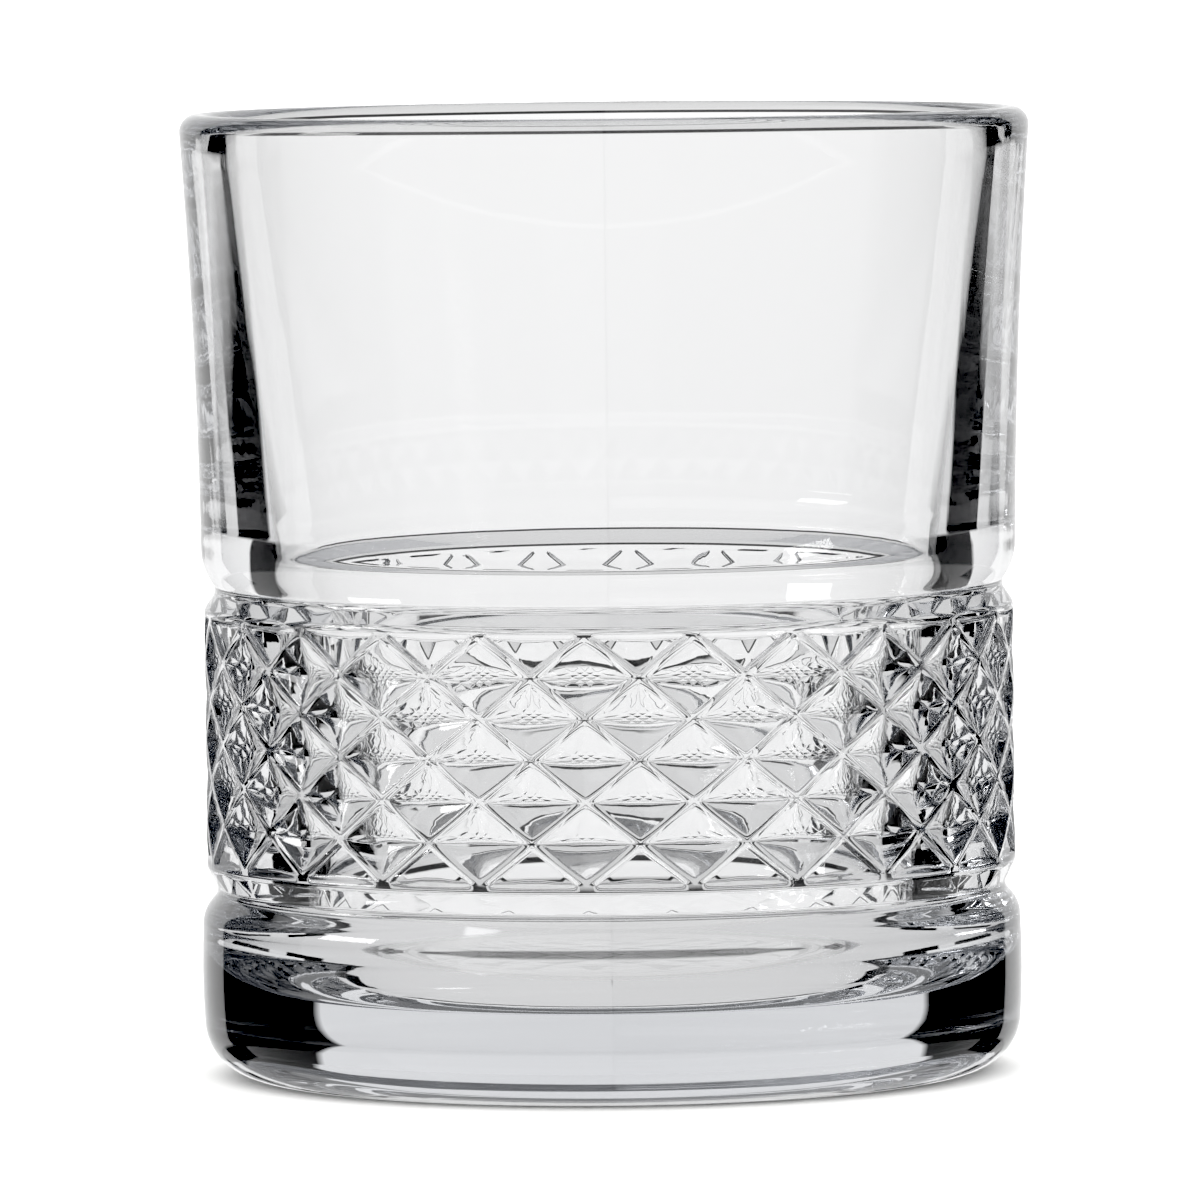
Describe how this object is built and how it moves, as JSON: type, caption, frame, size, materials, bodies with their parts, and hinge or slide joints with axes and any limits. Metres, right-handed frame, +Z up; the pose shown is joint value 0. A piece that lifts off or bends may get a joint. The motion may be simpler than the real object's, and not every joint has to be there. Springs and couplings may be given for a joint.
{
  "type": "whiskey tumbler",
  "caption": "Heavy-based clear pressed-glass whiskey tumbler with a band of cut diamonds between two grooves.",
  "frame": {"origin": "centre of the foot, in the plane that the glass stands on", "axes": "+Z up along the glass's axis; the band repeats every 15 degrees about Z"},
  "size_m": [0.083, 0.083, 0.0944],
  "materials": {
    "clear_glass": "fire-polished pressed glass"
  },
  "bodies": {
    "root": {"tumbler_glass": "clear_glass"}
  },
  "joints": []
}
